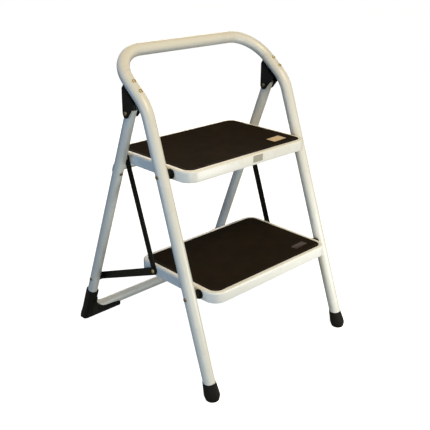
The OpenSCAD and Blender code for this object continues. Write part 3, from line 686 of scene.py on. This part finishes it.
def rear_shoe(name, side):
    """Moulded shoe: squared sleeve round the leg, flat sole, and a web that cradles the bottom bar."""
    base = rear_leg(0.0, side)
    up = (rear_leg(0.1, side) - base).normalized()
    out = Vector((side, 0, 0))
    out = (out - up * out.dot(up)).normalized()
    front = up.cross(out) * side
    # sleeve: half width, corner radius, rim along the leg, eased edge; the sole's chamfer; the heel's flare
    half, corner, rim, ease, chamfer, flare = 0.0130, 0.0075, 0.0965, 0.0009, 0.0066, 0.16
    inner_side, fit = -REAR_R - 0.0004, REAR_R * 1.003

    def at(x, n, height):
        """Point beside the leg (x), in front of it (n) and up along it."""
        return base + out * x + front * n + up * height

    def above_floor(x, n, z):
        return at(x, n, (z - out.z * x - front.z * n) / up.z)

    square = [(max(p.x, inner_side), p.y) for p in rounded_rectangle(half, half, corner, 0.0, 0.0, 8)]
    heel = [(x + max(0.0, x) * flare, n) for x, n in square]
    bore = [(fit * x / math.hypot(x, n), fit * n / math.hypot(x, n)) for x, n in square]
    shape = bmesh.new()
    loft(shape, [[above_floor(x * 0.95, min(n * 0.95, 0.0058), 0.0) for x, n in heel],
                 [above_floor(x, min(n, chamfer), ease) for x, n in heel]]
         + [[above_floor(x, n, z) for x, n in heel] for z in (0.0075, 0.016)]
         + [[at(x, n, h) for x, n in square] for h in (0.030, rim - ease)]
         + [[at(x * share, n * share, h) for x, n in square] for share, h in ((0.985, rim - 0.3 * ease), (0.96, rim))]
         + [[at(x, n, h) for x, n in bore] for h in (rim, rim - 0.02)])

    # the web's upper edge from the leg down into the cradle and out along the bar, and its sole
    edge = [(0.002, 0.074), (-0.0122, 0.072), (-0.0124, 0.064), (-0.0128, 0.057), (-0.0150, 0.0500),
            (-0.0185, 0.0440), (-0.0240, 0.0382), (-0.0310, 0.0330), (-0.0385, 0.0295), (-0.0460, 0.0279),
            (-0.0580, 0.0274), (-0.0740, 0.0265), (-0.0870, 0.0250), (-0.0912, 0.0232), (-0.0940, 0.0190),
            (-0.0958, 0.0100)]
    sole, nose_from = [-0.0962, -0.0720, -0.0480, -0.0240, 0.002], -0.05

    def web(n, inset, lift):
        """Outline of the web at n in front of the leg, drawn in by inset, its sole lifted."""
        upper = offset(edge, inset) if inset else list(edge)
        upper[0], upper[-1] = edge[0], (edge[-1][0] + inset, edge[-1][1])
        lower = [x + inset if x < nose_from else x for x in sole]
        return [at(x, n, h) for x, h in upper] + [above_floor(x, n, lift) for x in lower]

    loft(shape, [web(-half, ease, ease), web(ease - half, 0, 0.0), web(chamfer, 0, 0.0), web(0.0121, 0, 0.0065),
                 web(half - 0.0001, ease, 0.0085)])
    mesh = from_bmesh("shoe", shape, 40)
    finish(f"moulded_shoe_{name}", mesh, "rear_leg_frame", "black_plastic", PLASTIC, [f"rear_shoe_{name}"])


def drawn_up(shape, rise=0.008, inward=0.7):
    """Runs a hinge bracket's web further up the grip, down to a point against the tube."""
    start = grip(0.0)
    for vert in shape.verts:
        y, z = vert.co.y - start.y, vert.co.z - start.z
        along, drop = y * sin(GRIP_LEAN) + z * cos(GRIP_LEAN), y * cos(GRIP_LEAN) - z * sin(GRIP_LEAN)
        if drop < HOOP_R + 0.0008 and along > WEB_FROM + WEB_L - 0.002:
            middle = math.copysign(start.x, vert.co.x)
            vert.co += Vector((inward * (middle - vert.co.x), rise * sin(GRIP_LEAN), rise * cos(GRIP_LEAN)))


def softened(name, width):
    """The part's own shape with its corners eased, as a pressing, casting or moulding has."""
    source = frame["nodes"][name]
    shape = bmesh.new()
    shape.from_mesh(source.data)
    shape.transform(source.matrix_world)
    bmesh.ops.remove_doubles(shape, verts=shape.verts, dist=2e-6)
    bmesh.ops.dissolve_limit(shape, angle_limit=math.radians(1.0), verts=shape.verts, edges=shape.edges)
    if name.startswith("hinge_bracket"):
        drawn_up(shape)
    slot = SLOT_OF[name]
    mesh = to_mesh(name + "_eased", shape, EASED_OVER)
    made = finish(name + "_eased", mesh, BODY_OF[name], slot, FINISH[slot], [name])
    ease = made.modifiers.new("eased_edges", "BEVEL")
    ease.width, ease.segments = width, 2
    ease.limit_method, ease.angle_limit = "ANGLE", math.radians(EASED_OVER)
    ease.harden_normals = True


RIBS, RIVETS = rib_tree(), rivet_tree()
# domed head with a dished middle, as a tubular rivet has, and a shank with a softened end
HEAD_SHAPE = revolved("rivet_head", [(0, -0.05), (0.9, -0.05), (1.0, 0.0), (0.98, 0.3), (0.88, 0.66), (0.72, 0.9),
                                     (0.58, 1.0), (0.46, 0.97), (0.38, 0.8), (0.34, 0.45), (0, 0.4)])
SHANK_SHAPE = revolved("rivet_shank", [(0, 0.02), (1.0, 0.02), (1.0, -0.98), (0.9, -1.0), (0, -1.0)])

front_hoop()
rear_frame()
upper_y = tread("upper_tread", "upper_step", front_leg(up_z).y, UPPER_PIVOT_IN, TREAD_Z)
lower_y = tread("lower_tread", "lower_step", front_leg(low_z).y, LOWER_PIVOT_IN, TREAD_Z - RISE)
mat("upper_mat", "upper_step", upper_y, TREAD_Z)
mat("lower_mat", "lower_step", lower_y, TREAD_Z - RISE)
upper_deck, lower_deck, skirt = TREAD_Z + MAT_UP, TREAD_Z - RISE + MAT_UP, upper_y - TREAD_D / 2
for name, body, material, *corners in (
        ("blank_mat_label", "upper_step", LABEL,
         (0.108, -0.099, upper_deck), (0.151, -0.097, upper_deck), (0.108, -0.073, upper_deck)),
        ("blank_lower_mat_label", "lower_step", DARK_LABEL,
         (0.108, -0.179, lower_deck), (0.152, -0.176, lower_deck), (0.108, -0.162, lower_deck)),
        ("blank_skirt_label", "upper_step", PAPER,
         (0.0015, skirt, 0.452), (0.032, skirt, 0.452), (0.0015, skirt, 0.4675))):
    blank_label(name, body, material, *(Vector(corner) for corner in corners))
front_rivets()
link_rivets()
rear_rivets()
for name, side in SIDES.items():
    front_foot(name, side)
for name, side in SIDES.items():
    rear_shoe(name, side)
for width, names in ((0.0005, ("hinge_bracket_left", "hinge_bracket_right")),
                     (0.0006, ("stop_bar", "upper_spacers", "lower_spacers")), (0.0008, ("stay_bushes",)),
                     (0.0004, ("riser_link_left", "riser_link_right", "stay_link_left", "stay_link_right")),
                     (0.0003, ("stay_tail_left", "stay_tail_right")),
                     (0.0004, ("upper_stiffener", "lower_stiffener"))):
    for name in names:
        softened(name, width)
for pattern in (HEAD_SHAPE, SHANK_SHAPE):
    bpy.data.objects.remove(pattern)


# ---- floor and light ----
def seen(tree):
    """1 for the rays that show the background: straight to the camera, mirrored or through glass."""
    path = node(tree, "ShaderNodeLightPath").outputs
    direct = node(tree, "ShaderNodeMath", {0: path["Is Camera Ray"], 1: path["Is Glossy Ray"]}, operation="MAXIMUM")
    return node(tree, "ShaderNodeMath", {0: direct, 1: path["Is Transmission Ray"]}, operation="MAXIMUM")


def floor(half=12.0, z=-0.0005):
    """White to look at, a plain grey board to the light that bounces from it."""
    mesh = bpy.data.meshes.new("studio_floor")
    mesh.from_pydata([(-half, -half, z), (half, -half, z), (half, half, z), (-half, half, z)], [], [(0, 1, 2, 3)])
    piece = to_object("studio_floor", mesh)
    material, tree, _ = new_material("white_studio_floor")
    grey = node(tree, "ShaderNodeBsdfDiffuse", {"Color": linear("6c6459")})
    white = node(tree, "ShaderNodeBsdfDiffuse", {"Color": linear("f2f2f2")})
    board = node(tree, "ShaderNodeMixShader", {0: seen(tree), 1: grey, 2: white})
    glow = node(tree, "ShaderNodeEmission", {"Color": (1, 1, 1, 1), "Strength": 0.95})
    lit = node(tree, "ShaderNodeAddShader", {0: board, 1: glow})
    direct = node(tree, "ShaderNodeLightPath").outputs["Is Camera Ray"]
    out = node(tree, "ShaderNodeMixShader", {0: direct, 1: board, 2: lit})
    node(tree, "ShaderNodeOutputMaterial", {"Surface": out})
    mesh.materials.append(material)


def world():
    """Dim warm room to the stool, white to look at."""
    room = bpy.data.worlds.new("studio")
    bpy.context.scene.world = room
    room.use_nodes = True
    tree = room.node_tree
    tree.nodes.clear()
    dim = node(tree, "ShaderNodeBackground", {"Color": linear("fff4e4"), "Strength": 0.06})
    white = node(tree, "ShaderNodeBackground", {"Color": (1, 1, 1, 1), "Strength": 1.0})
    out = node(tree, "ShaderNodeMixShader", {0: seen(tree), 1: dim, 2: white})
    node(tree, "ShaderNodeOutputWorld", {"Surface": out})


def lamp(name, place, size, power, colour, target=Vector((0, -0.05, 0.35))):
    """Square softbox turned to the stool, with its size in metres and its power in watts."""
    data = bpy.data.lights.new(name, "AREA")
    data.shape, data.size, data.size_y = "RECTANGLE", size, size
    data.energy = power
    data.color = linear(colour)[:3]
    turn = (target - Vector(place)).to_track_quat("-Z", "Y").to_matrix().to_4x4()
    to_object(name, data).matrix_world = Matrix.Translation(place) @ turn


bpy.context.scene.view_settings.view_transform = "Standard"
floor()
world()
lamp("warm_softbox_above", (-0.3, -1.2, 2.2), 1.0, 29.5, "ffebc0")
lamp("cool_window_left", (-2.0, -0.2, 0.7), 0.9, 9.2, "96caff")
lamp("low_softbox_left", (-0.9, -1.25, 0.15), 0.5, 4.3, "dcf6ff")
lamp("small_softbox_front", (0.3, -0.75, 0.25), 0.3, 2.4, "f9ffff")
lamp("rear_fill", (1.3, 1.7, 1.0), 1.0, 7, "fff2dc")
